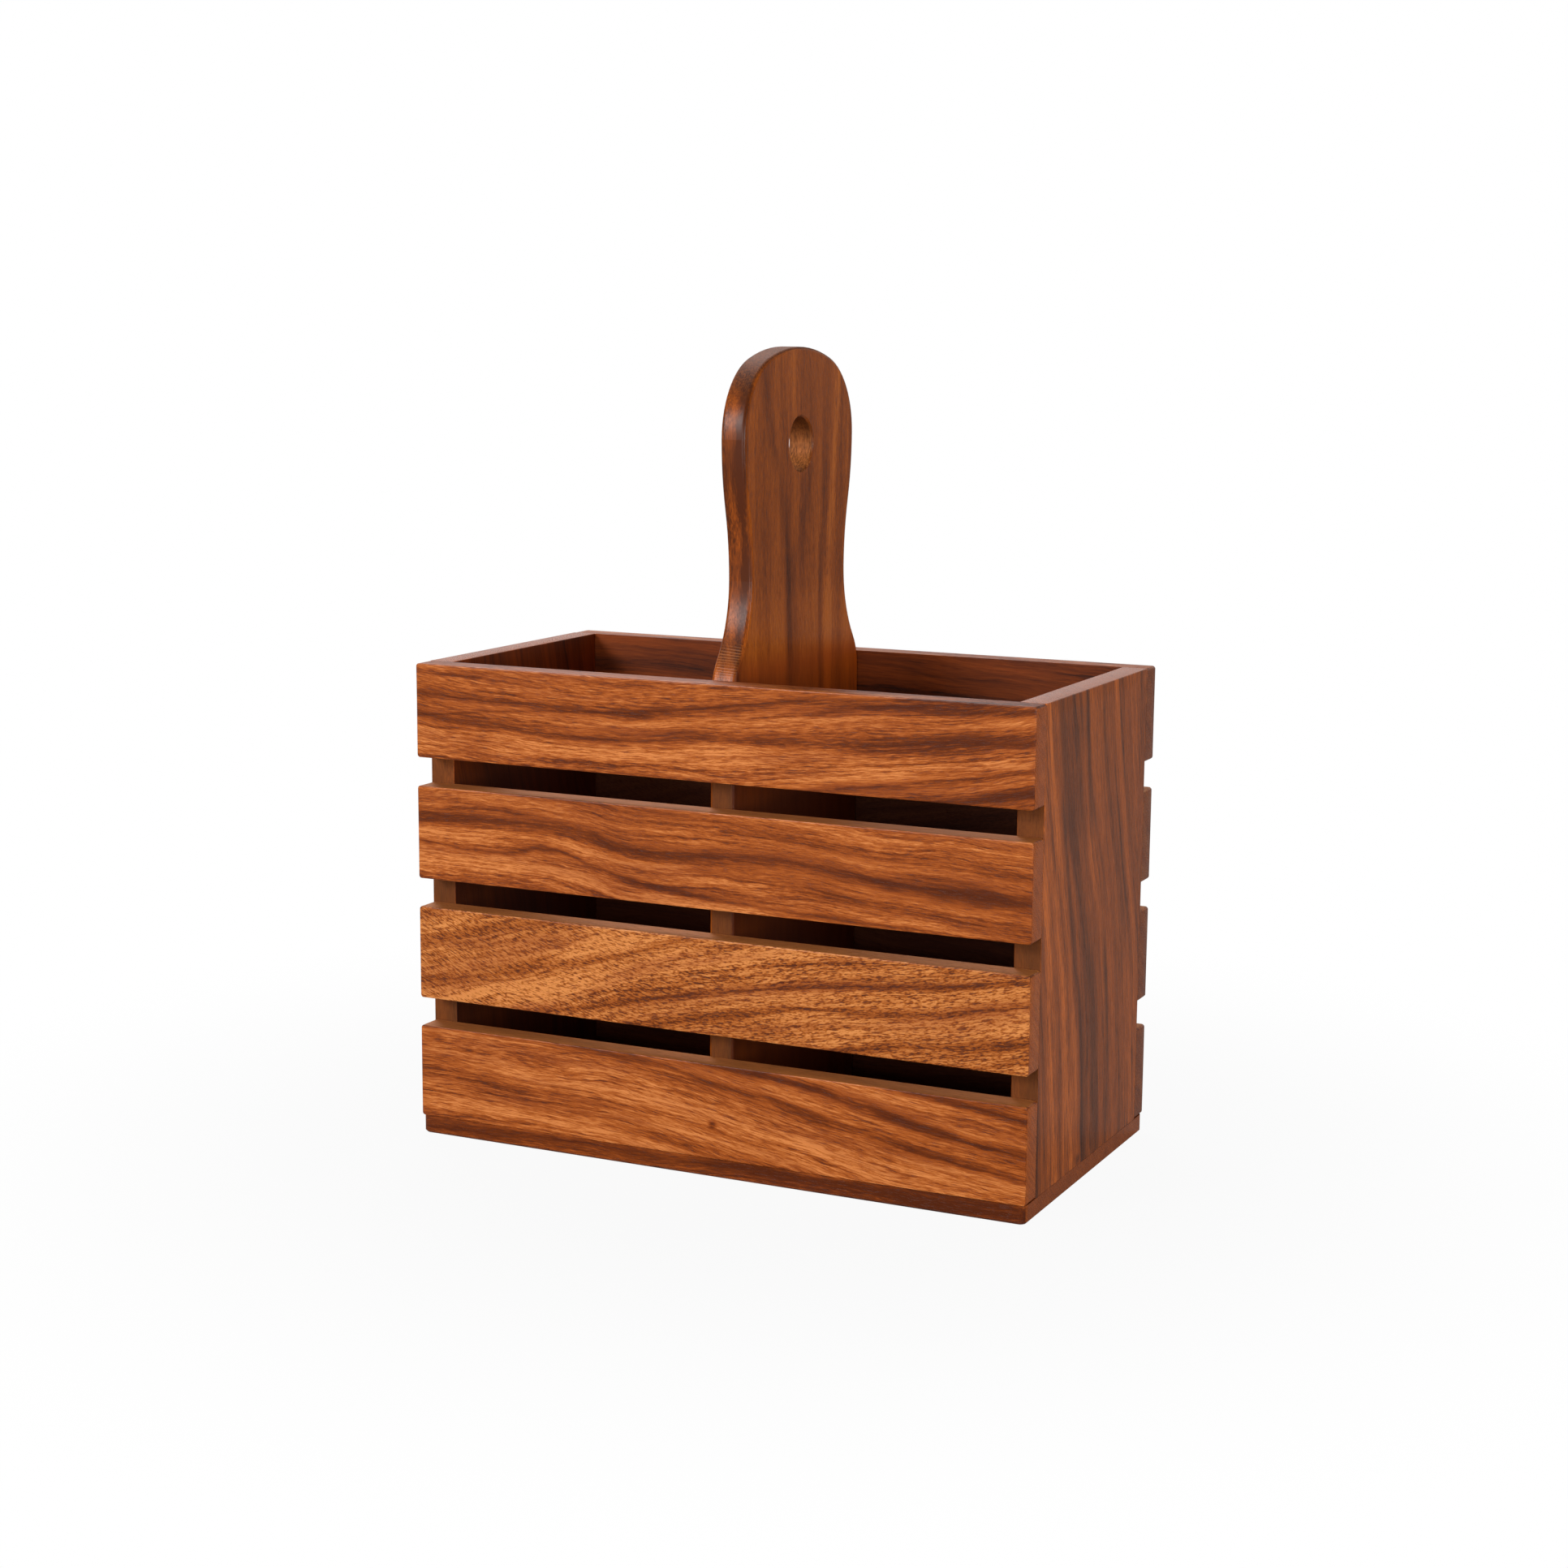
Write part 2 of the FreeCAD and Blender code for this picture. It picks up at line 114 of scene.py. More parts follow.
# Wood colours, as linear light
PALE = (0.72, 0.245, 0.068)
GOLD = (0.61, 0.196, 0.050)
ORANGE = (0.46, 0.118, 0.022)
RUST = (0.33, 0.072, 0.011)
BROWN = (0.172, 0.034, 0.005)
DARK = (0.092, 0.017, 0.003)
SAWN_TOP = (0.56, 0.190, 0.048)
SAWN_EDGE = (0.150, 0.042, 0.005)
END_LIGHT = (0.66, 0.155, 0.026)
END_DARK = (0.38, 0.083, 0.014)
SHOULDER_LIGHT = (0.18, 0.046, 0.006)
# The shoulders' dark end grain, whose colour also gives the painted shade in the hanging hole
SHOULDER_DARK_AND_HOLE_SHADE = (0.030, 0.006, 0.001)
DRILLED = (0.58, 0.188, 0.045)
# Painted shade on faces inside the bays, from its palest to its deepest
BAY_SHADE_PALE = (0.27, 0.046, 0.002)
BAY_SHADE_DEEP = (0.030, 0.005, 0.001)
# Painted shade on the divider below the rim and a little above it, from its palest to its deepest
DIVIDER_SHADE_PALE = (0.46, 0.080, 0.004)
DIVIDER_SHADE_DEEP = (0.08, 0.013, 0.001)

# Palettes run from the palest tone of the wood to the darkest
SLAT_PALETTE = ((0.0, PALE), (0.14, GOLD), (0.34, ORANGE), (0.54, RUST), (0.76, BROWN), (1.0, DARK))
RUDDY_PALETTE = ((0.0, (0.50, 0.145, 0.036)), (0.5, (0.30, 0.062, 0.013)), (1.0, (0.085, 0.016, 0.005)))
DULL_PALETTE = (
    (0.0, (0.863, 0.202, 0.025)),
    (0.36, (0.485, 0.106, 0.012)),
    (0.72, (0.209, 0.050, 0.009)),
    (1.0, (0.094, 0.024, 0.007)),
)
HANDLE_PALETTE = (
    (0.0, (0.69, 0.176, 0.018)),
    (0.36, (0.465, 0.104, 0.008)),
    (0.72, (0.237, 0.050, 0.005)),
    (1.0, (0.085, 0.018, 0.003)),
)

# Noise in the wood: length along the grain and width across it in millimetres, seed shift, detail, roughness
SLOW_SWAY = (60, 18, 0.0, 1.0, 0.5)
QUICK_SWAY = (10, 2.4, 5.0, 2.0, 0.5)
BANDS = (130, 7.0, 3.1, 2.0, 0.55)
VEINS = (50, 2.0, 4.4, 3.0, 0.65)
LINES = (24, 1.1, 7.7, 3.0, 0.65)
FIBRES = (7, 0.42, 1.9, 2.0, 0.6)
RUDDY = (70, 6.0, 6.2, 2.0, 0.5)
TICK_SHIFT = 9.0
TICK_ROUGH = 0.7
DEPTH_STRETCH = 1.3
SPECKLE_SIZE = (5.0, 0.7, 0.5)
RING_PITCH = 0.7
RING_RUN = 9

# How far the grain sways and leans, in millimetres
SLOW_REACH = 5.0
QUICK_REACH = 1.6
TICK_REACH = 0.8
LEAN = 0.8

# Streaks: how ragged they are, how far apart they wax and wane in millimetres, and between which shares
RAGGED = 2.2
STREAK_RUN = 40
STREAK_SEED_STEP = 11.0
STREAK_FADES = (0.3, 0.7)
STREAK_THICKNESS = (0.6, 1.3)
STREAK_STRENGTH = (0.6, 1.0)
STREAK_EDGE = (-0.5, 1.7)

# Knots: how far their outline wobbles and where it fades, in radii, and their depth of tone
KNOT_WOBBLE = 4
KNOT_EDGE = (0.3, 1.4)
KNOT_DEPTH = 0.4

# How strongly the noises show in the tone, the colour, the roughness and the height of the lacquer
BAND_WEIGHT = 0.95
FIBRE_WEIGHT = 0.55
CROWDING = 0.10
RUDDY_MARKS = 0.3
LACQUER_ROUGHNESS = 0.22
FIBRE_ROUGHNESS = 0.10
PORE_ROUGHNESS = 0.22
LACQUER_SPECULAR = 0.2
FIBRE_HEIGHT = 0.35
LINE_HEIGHT = 0.25
PORE_HEIGHT = -0.9
BUMP_STRENGTH = 0.35
BUMP_DISTANCE = 0.12 * MM

# Where a noise or a tone begins to show, and where it shows wholly
VEIN_SHOWS = (0.52, 0.72)
PORE_SHOWS = (0.60, 0.70)
RUDDY_SHOWS = (0.45, 0.7)
RING_SHOWS = (0.35, 0.65)
SHOULDER_SHOWS = (0.42, 0.62)
SAWN_SHOWS = (0.3, 0.75)
DRILLED_SHOWS = (0.36, 0.64)
BAY_SHADE_SHOWS = (0.1, 1.0)

# Limits of how squarely a face looks along an axis, for each kind of face
END_FACING = (0.8, 0.97)
SHOULDER_FACING = (0.35, 0.75)
SAWN_FACING = (0.85, 0.99)
BAY_SHADE_FACING = (0.6, 0.9)
FRONT_FACING = (-0.8, -0.4)
RASP_FACING = (-0.75, -0.5)
WALL_FACING = (0.5, 0.8)

# How far each kind of face covers the lacquered wood, and how much roughness it adds
END_COVER = (0.8, 0.0)
SHOULDER_COVER = (0.8, 0.4)
SAWN_COVER = (0.85, 0.35)
BAY_SHADE_COVER = (0.95, 0.3)
DRILLED_COVER = (0.85, 0.3)
SAWN_DIM = 0.5
BOARD_WEAR = 0.18
HANDLE_WEAR = 0.08
DRILLED_DIM = 0.25

# Levels above the rim: where sawn faces end, where painted shade on faces inside the bays ends, and where
# that painted shade darkens
SAWN_ENDS = (-1.0 * MM, -0.5 * MM)
BOARD_SHADE_TOP = 3 * MM
HANDLE_SHADE_TOP = 12 * MM
BAY_SHADE_DEEPENS = (-50 * MM, -20 * MM)
BAY_SHADE_DEPTH = 0.9

# The handle's front edge, and the rasp marks on its flare
FRONT_DEPTH = 0.22
FRONT_PORES = 0.15
RASP_PITCH = 0.95 * MM
RASP_SLOPE = 420.0
RASP_SHAKE = 4.0
RASP_SHAKES_PER_METRE = (90.0, 220.0)
RASP_FADES_IN = 3 * MM
RASP_FADES_OUT = (9 * MM, 14 * MM)
RASP_SHOWS = (-0.2, 0.9)
RASP_UNEVEN = (0.3, 0.6, 0.3, 1.0)
RASP_HEIGHT = -1.8
RASP_PALENESS = 0.32

# The hanging hole: its wall, the chips torn round its edge, and painted shade on its upper side
WALL_NEAR = (0.1 * MM, 0.5 * MM)
TEAR = 6 * MM
TEAR_LEVEL = 0.62
CHIPS_NEAR = (0.9 * MM, 1.2 * MM)
CHIPS_SHARE = 0.7
UPPER_SIDE = (-2 * MM, 6 * MM)
UPPER_PAINTED_SHADE = 0.7

# Steel: its brushed grain per metre, and how its colour and gloss follow that
BRUSHED = (2200.0, 2200.0, 500.0)
BRUSHED_DIM = 0.75
BRUSHED_SHOWS = (0.2, 0.8)
BRUSHED_GLOSS = (-0.08, 0.1)
BRAD_STEEL = ((0.56, 0.55, 0.53), 0.35)
SCREW_STEEL = ((0.60, 0.56, 0.46), 0.3)

# Seeds of the boards, and how light their end grain is
SLAT_SIDES = ((0, "front", 1, 1.0), (40, "back", 0, 0.55))
SLAT_SEED_STEP = 1.7
PANEL_SIDES = ((70, "left", 1), (80, "right", -1))
PANEL_ENDS = 0.75
HANDLE_SEED = 95
BASE_SEED = 60
BASE_ENDS = 0.8

# Figures: a course is points (share along the grain, share across), a streak adds half width and depth
FIGURES = {
    "front_slat_4": dict(
        flow=((0.0, 0.50), (0.25, 0.42), (0.45, 0.44), (0.7, 0.58), (1.0, 0.80)),
        pores=((0.0, 0.54), (0.3, 0.42), (0.6, 0.46), (1.0, 0.74)),
        streaks=(
            (((0.0, 0.50), (0.25, 0.36), (0.42, 0.41), (0.6, 0.46), (0.8, 0.55), (1.0, 0.66)), 2.6, 0.45),
            (((0.0, 0.68), (0.25, 0.63), (0.45, 0.70), (0.65, 0.85), (1.0, 0.93)), 2.6, 0.34),
            (((0.30, 0.64), (0.5, 0.77), (0.7, 0.92), (0.9, 1.02)), 0.7, 0.30),
            (((0.6, -0.06), (0.8, 0.13), (0.9, 0.25), (1.0, 0.37)), 2.2, 0.46),
            (((0.8, -0.05), (0.9, 0.04), (1.0, 0.14)), 1.6, 0.40),
            (((0.0, 0.20), (0.3, 0.18), (0.5, 0.24), (0.65, 0.30), (1.0, 0.46)), 4.0, -0.26),
        ),
        tone=0.47,
        pore=(4.6, 0.40, 0.52),
        stretch=1.3,
        along=((0.0, 0.0), (0.6, 0.0), (0.85, 0.05), (1.0, 0.10)),
    ),
    "front_slat_3": dict(
        flow=((0.0, 0.70), (0.15, 0.71), (0.3, 0.62), (0.4, 0.52), (0.55, 0.55), (0.75, 0.46), (1.0, 0.38)),
        pores=((0.0, 0.60), (0.2, 0.62), (0.4, 0.50), (0.7, 0.46), (1.0, 0.34)),
        streaks=(
            (
                (
                    (0.0, 0.69), (0.2, 0.70), (0.3, 0.63), (0.4, 0.51),
                    (0.55, 0.57), (0.75, 0.48), (1.0, 0.40),
                ),
                2.7,
                0.34,
            ),
            (((0.0, 0.67), (0.2, 0.68), (0.3, 0.62), (0.42, 0.52), (0.6, 0.53), (1.0, 0.42)), 5.5, 0.18),
            (
                (
                    (0.0, 0.41), (0.15, 0.37), (0.22, 0.46), (0.3, 0.34),
                    (0.42, 0.18), (0.6, 0.09), (0.8, 0.03),
                ),
                1.2,
                0.44,
            ),
            (((0.25, 1.0), (0.5, 0.90), (0.75, 0.72), (1.0, 0.62)), 1.6, 0.26),
            (((0.45, 0.25), (0.7, 0.30), (1.0, 0.20)), 5.0, 0.20),
            (((0.0, 0.17), (0.2, 0.20), (0.34, 0.10), (0.5, -0.05)), 4.2, -0.40),
            (((0.0, 0.50), (0.2, 0.55), (0.32, 0.44), (0.5, 0.30)), 2.4, -0.26),
        ),
        tone=0.47,
        pore=(3.8, 0.38, 0.46),
        stretch=1.2,
    ),
    "front_slat_2": dict(
        flow=((0.0, 0.0), (0.18, 0.30), (0.3, 0.56), (0.42, 0.84), (0.55, 1.05), (0.75, 1.28), (1.0, 1.58)),
        pores=(
            (0.0, 0.90),
            (0.15, 0.52),
            (0.3, 0.26),
            (0.42, 0.12),
            (0.55, 0.14),
            (0.75, 0.34),
            (1.0, 0.62),
        ),
        streaks=(
            (((0.0, 0.20), (0.1, 0.32), (0.2, 0.50), (0.3, 0.60), (0.4, 0.84), (0.5, 1.05)), 2.2, 0.36),
            (((0.2, -0.02), (0.4, 0.29), (0.55, 0.52), (0.7, 0.67), (0.85, 0.79), (1.0, 0.93)), 1.0, 0.40),
            (((0.42, 0.04), (0.55, 0.24), (0.65, 0.39), (0.8, 0.48), (1.0, 0.70)), 1.7, 0.46),
            (((0.72, 0.02), (0.85, 0.18), (1.0, 0.33)), 1.6, 0.42),
            (((0.0, 0.58), (0.08, 0.74), (0.18, 0.92), (0.3, 1.1)), 2.6, 0.26),
            (((0.0, 0.02), (0.15, 0.14), (0.3, 0.32), (0.42, 0.58), (0.55, 0.84)), 3.0, -0.22),
        ),
        tone=0.45,
        pore=(2.1, 0.45, 0.66),
        crisp=(0.44, 0.66, 1.2),
        golden=1.1,
    ),
    "front_slat_1": dict(
        flow=((0.0, 0.62), (0.2, 0.58), (0.4, 0.50), (0.55, 0.36), (0.75, 0.10), (1.0, -0.12)),
        pores=((0.0, 0.60), (0.2, 0.57), (0.4, 0.45), (0.55, 0.24), (0.75, 0.05), (1.0, -0.10)),
        streaks=(
            (
                (
                    (0.25, 0.97), (0.4, 0.91), (0.5, 0.78), (0.62, 0.66),
                    (0.75, 0.49), (0.88, 0.36), (1.0, 0.25),
                ),
                1.7,
                0.50,
            ),
            (((0.5, 0.99), (0.7, 0.86), (0.8, 0.71), (0.9, 0.59), (1.0, 0.53)), 2.3, 0.52),
            (((0.82, 1.02), (0.92, 0.92), (1.0, 0.82)), 1.8, 0.50),
            (((0.15, 0.44), (0.3, 0.32), (0.45, 0.10), (0.55, -0.02)), 3.0, 0.10),
            (((0.1, 0.88), (0.3, 0.74), (0.45, 0.56), (0.6, 0.36), (0.8, 0.12)), 3.6, -0.18),
        ),
        knots=((0.507, 0.365, 1.6),),
        tone=0.44,
        pore=(5.0, 0.38, 0.48),
        crisp=(0.38, 0.68, 2.4),
        stretch=1.3,
    ),
    "right_end_panel": dict(
        flow=((0.0, 0.62), (0.25, 0.58), (0.45, 0.52), (0.7, 0.38), (1.0, 0.26)),
        pores=((0.0, 0.56), (0.5, 0.50), (1.0, 0.38)),
        streaks=(
            (((0.0, 0.52), (0.3, 0.47), (0.45, 0.40), (0.7, 0.29), (1.0, 0.20)), 2.6, 0.34),
            (((0.0, 0.76), (0.4, 0.72), (0.58, 0.66), (0.7, 0.58), (0.85, 0.49), (1.0, 0.45)), 2.0, 0.30),
            (((0.0, 0.60), (0.4, 0.55), (0.7, 0.40), (1.0, 0.32)), 11.0, 0.32),
            (((0.0, 0.08), (0.3, 0.06), (0.55, 0.02), (0.75, -0.06)), 5.5, 0.34),
            (((0.0, 0.92), (0.4, 0.88), (0.7, 0.84), (1.0, 0.80)), 11.0, 0.14),
            (((0.0, 0.40), (0.45, 0.28), (0.7, 0.18), (1.0, 0.10)), 3.4, -0.40),
            (((0.0, 0.26), (0.4, 0.16), (0.7, 0.09), (1.0, 0.02)), 2.8, -0.36),
        ),
        knots=((0.012, 0.40, 2.0),),
        tone=0.43,
        pore=(5.0, 0.42, 0.28),
        stretch=1.6,
        lines=0.6,
        ruddy=0.25,
    ),
    "divider_handle": dict(
        flow=((0.0, 0.53), (0.5, 0.51), (0.8, 0.49), (1.0, 0.48)),
        pores=((0.0, 0.50), (0.5, 0.52), (1.0, 0.48)),
        streaks=(
            (((0.6, 0.52), (0.68, 0.50), (0.75, 0.47), (0.84, 0.40), (0.95, 0.30), (1.0, 0.27)), 4.6, 0.28),
            (((0.6, 0.48), (0.7, 0.52), (0.82, 0.63), (0.98, 0.72)), 6.0, 0.22),
            (((0.5, 0.86), (0.66, 0.80), (0.8, 0.82), (0.92, 0.86), (1.0, 0.90)), 2.8, -0.46),
            (((0.5, 0.78), (0.66, 0.74), (0.8, 0.76), (0.95, 0.78)), 4.0, 0.22),
            (((0.0, 0.08), (0.6, 0.10), (0.73, 0.18), (0.86, 0.125), (0.93, 0.16), (1.0, 0.34)), 2.6, 0.60),
            (((0.0, 0.03), (0.6, 0.05), (0.73, 0.13), (0.86, 0.075), (0.93, 0.11), (1.0, 0.28)), 1.8, 0.24),
        ),
        tone=0.46,
        along=(
            (0.0, 0.0),
            (0.55, -0.05),
            (0.62, -0.16),
            (0.68, -0.10),
            (0.75, 0.04),
            (0.86, 0.0),
            (1.0, -0.06),
        ),
        pore=(3.6, 0.40, 0.40),
        lines=0.4,
        veins=0.08,
        ruddy=0.2,
    ),
}

PLAIN_FIGURE = dict(
    flow=((0.0, 0.48), (0.4, 0.56), (0.7, 0.47), (1.0, 0.54)),
    pores=((0.0, 0.52), (0.5, 0.50), (1.0, 0.46)),
    streaks=(
        (((0.0, 0.30), (0.4, 0.38), (0.7, 0.34), (1.0, 0.42)), 3.0, 0.35),
        (((0.0, 0.78), (0.4, 0.70), (0.7, 0.80), (1.0, 0.74)), 2.4, 0.30),
    ),
    tone=0.58,
    pore=(5.0, 0.42, 0.46),
)

# What a figure has where it says nothing else
USUAL_FIGURE = dict(
    along=(),
    crisp=(0.36, 0.68, 3.0),
    golden=1.0,
    knots=(),
    lines=1.0,
    ruddy=0.5,
    stretch=1.0,
    veins=0.26,
)


class Shader:
    """Adds nodes to a material or a world. An input is a number, a colour or another node's output."""

    def __init__(self, owner):
        owner.use_nodes = True
        self.owner = owner
        self.tree = owner.node_tree
        self.tree.nodes.clear()

    def node(self, kind, inputs=(), output=0, **settings):
        node = self.tree.nodes.new(f"ShaderNode{kind}")
        for key, setting in settings.items():
            setattr(node, key, setting)
        for key, entry in dict(inputs).items():
            if isinstance(entry, bpy.types.NodeSocket):
                self.tree.links.new(entry, node.inputs[key])
            else:
                node.inputs[key].default_value = entry
        return node.outputs[output] if node.outputs else None

    def math(self, operation, *entries):
        return self.node("Math", enumerate(entries), operation=operation)

    def add(self, *entries):
        total = entries[0]
        for entry in entries[1:]:
            total = self.math("ADD", total, entry)
        return total

    def times(self, *entries):
        total = entries[0]
        for entry in entries[1:]:
            total = self.math("MULTIPLY", total, entry)
        return total

    def centred(self, entry):
        """A noise, shifted to lie about zero."""
        return self.add(entry, -0.5)

    def remap(self, entry, start, end, low=0.0, high=1.0, smooth=False):
        kind = "SMOOTHSTEP" if smooth else "LINEAR"
        return self.node("MapRange", enumerate((entry, start, end, low, high)), interpolation_type=kind)

    def noise(self, place, detail, rough=0.5):
        return self.node("TexNoise", {"Vector": place, "Scale": 1.0, "Detail": detail, "Roughness": rough})

    def vector(self, x, y, z):
        return self.node("CombineXYZ", enumerate((x, y, z)))

    def split(self, vector):
        node = self.tree.nodes.new("ShaderNodeSeparateXYZ")
        self.tree.links.new(vector, node.inputs[0])
        return tuple(node.outputs)

    def length(self, vector):
        return self.node("VectorMath", {0: vector}, "Value", operation="LENGTH")

    def mix(self, share, first, second):
        node = self.tree.nodes.new("ShaderNodeMix")
        node.data_type = "RGBA"
        colours = [item for item in node.inputs if item.type == "RGBA"]
        for socket, entry in zip((node.inputs[0], *colours), (share, first, second)):
            if isinstance(entry, bpy.types.NodeSocket):
                self.tree.links.new(entry, socket)
            else:
                socket.default_value = (*entry, 1.0) if isinstance(entry, tuple) else entry
        return next(item for item in node.outputs if item.type == "RGBA")

    def curve(self, entry, points):
        """A smooth curve through points. The node's own curve runs from 0 to 1, so heights are stretched."""
        low = min(height for place, height in points)
        span = max(height for place, height in points) - low
        node = self.tree.nodes.new("ShaderNodeFloatCurve")
        line = node.mapping.curves[0]
        for place, height in points[1:-1]:
            line.points.new(place, (height - low) / span)
        for spot, (place, height) in zip(line.points, points):
            spot.location = (place, (height - low) / span)
        node.mapping.update()
        self.tree.links.new(entry, node.inputs["Value"])
        return self.add(self.times(node.outputs[0], span), low)

    def ramp(self, entry, stops):
        node = self.tree.nodes.new("ShaderNodeValToRGB")
        line = node.color_ramp.elements
        while len(line) < len(stops):
            line.new(0.5)
        for spot, (place, colour) in zip(line, stops):
            spot.position = place
            spot.color = (*colour, 1.0)
        self.tree.links.new(entry, node.inputs[0])
        return node.outputs[0]


def above_rim(*levels):
    """Heights of levels that are given from the rim."""
    return (rim + level for level in levels)


def faded(colour, share):
    """A colour, dimmed to a share of its light."""
    return tuple(share * part for part in colour)


class Wood(Shader):
    """The material of one board. Its places are in millimetres: u along the grain, v across the board and
    w through it."""

    def __init__(self, name, low, high, upright, seed):
        super().__init__(bpy.data.materials.new(name))
        self.seed = seed
        self.places = self.split(self.node("TexCoord", output="Object"))
        self.facing = self.split(self.node("NewGeometry", output="Normal"))
        axes = (2, 1, 0) if upright else (0, 2, 1)
        self.grain_axis = axes[0]
        sizes = [(high[axis] - low[axis]) / MM for axis in axes]
        self.board_length, self.board_width = sizes[:2]
        self.u, self.v, self.w = (
            self.remap(self.places[axis], low[axis], high[axis], 0.0, size)
            for axis, size in zip(axes, sizes)
        )
        self.share_along = self.remap(self.u, 0.0, self.board_length)
        spot = (self.times(place, 1 / size) for place, size in zip((self.u, self.v, self.w), SPECKLE_SIZE))
        self.speckle = self.noise(self.vector(*spot), 3.0, 0.7)
        self.pore_share = 1.0

    def field(self, across, length, width, shift, detail, rough):
        """Noise drawn out along the grain."""
        spot = self.vector(
            self.times(self.u, 1 / length),
            self.times(across, 1 / width),
            self.add(self.times(self.w, 1 / (DEPTH_STRETCH * width)), self.seed + shift),
        )
        return self.noise(spot, detail, rough)

    def grow(self, figure):
        """The tone: bands, veins and lines follow the figure's flow, fibres and ticks its pores."""
        slow = self.times(self.centred(self.field(self.v, *SLOW_SWAY)), SLOW_REACH)
        quick = self.centred(self.field(self.v, *QUICK_SWAY))
        line = self.add(self.v, slow, self.times(quick, QUICK_REACH), self.times(self.w, LEAN))
        flow = self.times(self.curve(self.share_along, figure["flow"]), -self.board_width)
        pores = self.times(self.curve(self.share_along, figure["pores"]), -self.board_width)
        self.flowing = self.add(line, flow)
        pore_line = self.add(self.v, pores, slow, self.times(quick, TICK_REACH))

        line_length, *line_rest = LINES
        fibre_length, *fibre_rest = FIBRES
        tick_length, tick_pitch, self.tick_depth = figure["pore"]
        *self.tick_shows, tick_detail = figure["crisp"]
        bands = self.field(self.flowing, *BANDS)
        veins = self.remap(self.field(self.flowing, *VEINS), *VEIN_SHOWS, smooth=True)
        self.lines = self.field(self.flowing, line_length * figure["stretch"], *line_rest)
        self.fibres = self.field(pore_line, fibre_length * figure["stretch"], *fibre_rest)
        self.tick = self.field(pore_line, tick_length, tick_pitch, TICK_SHIFT, tick_detail, TICK_ROUGH)
        self.tone = self.add(
            figure["tone"],
            self.times(self.centred(bands), BAND_WEIGHT),
            self.times(veins, figure["veins"]),
            self.times(self.centred(self.lines), figure["lines"]),
            self.times(self.centred(self.fibres), FIBRE_WEIGHT),
        )
        if figure["along"]:
            self.tone = self.add(self.tone, self.curve(self.share_along, figure["along"]))
        ragged = self.times(self.add(self.centred(self.tick), self.centred(self.lines)), RAGGED)
        for number, streak in enumerate(figure["streaks"]):
            self.add_streak(line, ragged, self.seed + STREAK_SEED_STEP * number, *streak)
        for knot in figure["knots"]:
            self.add_knot(*knot)

    def add_streak(self, line, ragged, seed, points, half, depth):
        """A streak that waxes and wanes along the board. It is pale where its depth is below zero."""
        centre = self.times(self.curve(self.share_along, points), self.board_width)
        off = self.math("ABSOLUTE", self.math("SUBTRACT", line, centre))
        fade = self.noise(self.vector(self.times(self.u, 1 / STREAK_RUN), seed, 0.0), 1.0)
        thick = self.remap(fade, *STREAK_FADES, *(half * share for share in STREAK_THICKNESS))
        off = self.add(self.math("DIVIDE", off, thick), ragged)
        shown = self.remap(off, *STREAK_EDGE, 1.0, 0.0, smooth=True)
        strength = self.remap(fade, *STREAK_FADES, *STREAK_STRENGTH)
        self.tone = self.add(self.tone, self.times(shown, strength, depth))

    def add_knot(self, along_share, across_share, radius):
        """A small dark knot with a ragged outline. Its radius is in millimetres."""
        along = self.add(self.u, -along_share * self.board_length)
        across = self.add(self.v, -across_share * self.board_width)
        apart = self.length(self.vector(along, across, 0.0))
        apart = self.add(apart, self.times(self.centred(self.tick), KNOT_WOBBLE * radius))
        edge = (radius * share for share in KNOT_EDGE)
        self.tone = self.add(self.tone, self.remap(apart, *edge, KNOT_DEPTH, 0.0, smooth=True))

    def deepen_front(self):
        """The handle's narrow front edge is darker, with its pores filled."""
        self.tone = self.add(self.tone, self.remap(self.facing[1], *FRONT_FACING, FRONT_DEPTH, 0.0))
        self.pore_share = self.remap(self.facing[1], *FRONT_FACING, FRONT_PORES, 1.0)

    def stain(self, figure, palette):
        """Ticks crowd together where the wood is dark, and the deepest of them are open pores."""
        crowded = self.add(self.tick, self.times(self.centred(self.tone), CROWDING))
        mark = self.remap(crowded, *self.tick_shows)
        pore = self.times(self.remap(crowded, *PORE_SHOWS, smooth=True), self.pore_share)
        golden = figure["golden"]
        stops = [(place, (red, green * golden, blue * golden)) for place, (red, green, blue) in palette]
        plain = self.ramp(self.add(self.tone, self.times(self.centred(mark), self.tick_depth)), stops)
        ruddy = self.ramp(self.add(self.tone, self.times(mark, RUDDY_MARKS)), RUDDY_PALETTE)
        share = self.remap(self.field(self.flowing, *RUDDY), *RUDDY_SHOWS, smooth=True)
        self.colour = self.mix(self.times(share, figure["ruddy"]), plain, ruddy)
        self.roughness = self.add(
            LACQUER_ROUGHNESS,
            self.times(self.fibres, FIBRE_ROUGHNESS),
            self.times(pore, PORE_ROUGHNESS),
        )
        self.height = self.add(
            self.times(self.fibres, FIBRE_HEIGHT),
            self.times(self.lines, LINE_HEIGHT),
            self.times(pore, PORE_HEIGHT),
        )

    def cover(self, mask, shade, share, roughening):
        """Lays a shade over part of the surface, and takes its shine there."""
        self.colour = self.mix(self.times(mask, share), self.colour, shade)
        self.roughness = self.add(self.roughness, self.times(mask, roughening))

    def show_end_grain(self, lightness):
        """Slanting rings on the ends of a straight board."""
        slant = self.times(self.add(self.v, self.w), 1 / RING_PITCH)
        run = self.times(self.math("SUBTRACT", self.v, self.w), 1 / RING_RUN)
        ring = self.remap(self.noise(self.vector(slant, run, self.seed), 3.0, 0.6), *RING_SHOWS)
        ends = self.remap(self.math("ABSOLUTE", self.facing[self.grain_axis]), *END_FACING, smooth=True)
        self.cover(ends, self.mix(ring, faded(END_LIGHT, lightness), faded(END_DARK, lightness)), *END_COVER)

